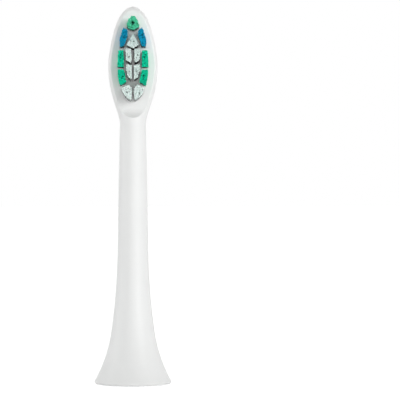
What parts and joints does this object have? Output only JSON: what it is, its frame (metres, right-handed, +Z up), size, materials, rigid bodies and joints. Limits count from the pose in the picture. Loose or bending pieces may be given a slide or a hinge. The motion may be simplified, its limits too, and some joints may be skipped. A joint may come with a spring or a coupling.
{
  "type": "electric toothbrush head",
  "caption": "Push-on electric toothbrush head with a flared hollow base, a slim stem and an oval head that carries shaped green, blue and clear bristle tufts.",
  "frame": {"origin": "middle of the base rim, on the axis of the drive shaft", "axes": "+Z up along the drive shaft towards the tip, -Y the way the bristles face, +X to the right as seen from the bristle side"},
  "size_m": [0.0178, 0.0212, 0.087],
  "materials": {
    "body_plastic": "satin moulded white",
    "sleeve_plastic": "natural acetal",
    "clip_steel": "rolled spring strip",
    "anchor_brass": "drawn strip",
    "bristle_green": "dyed nylon filament",
    "bristle_tip_green": "dyed nylon filament",
    "bristle_blue": "dyed nylon filament",
    "bristle_clear": "undyed nylon filament"
  },
  "bodies": {
    "root": {"brush_body": "body_plastic", "coupling_sleeve": "sleeve_plastic", "spring_clip": "clip_steel", "tuft_anchors": "anchor_brass", "tip_tuft": "bristle_tip_green", "upper_edge_tuft_left": "bristle_blue", "upper_edge_tuft_right": "bristle_blue", "middle_edge_tuft_left": "bristle_green", "middle_edge_tuft_right": "bristle_green", "lower_edge_tuft_left": "bristle_green", "lower_edge_tuft_right": "bristle_green", "centre_kite_tuft": "bristle_clear", "centre_upper_tuft_left": "bristle_clear", "centre_upper_tuft_right": "bristle_clear", "centre_lower_tuft_left": "bristle_clear", "centre_lower_tuft_right": "bristle_clear", "heel_tuft_left": "bristle_clear", "heel_tuft_right": "bristle_clear"}
  },
  "joints": []
}
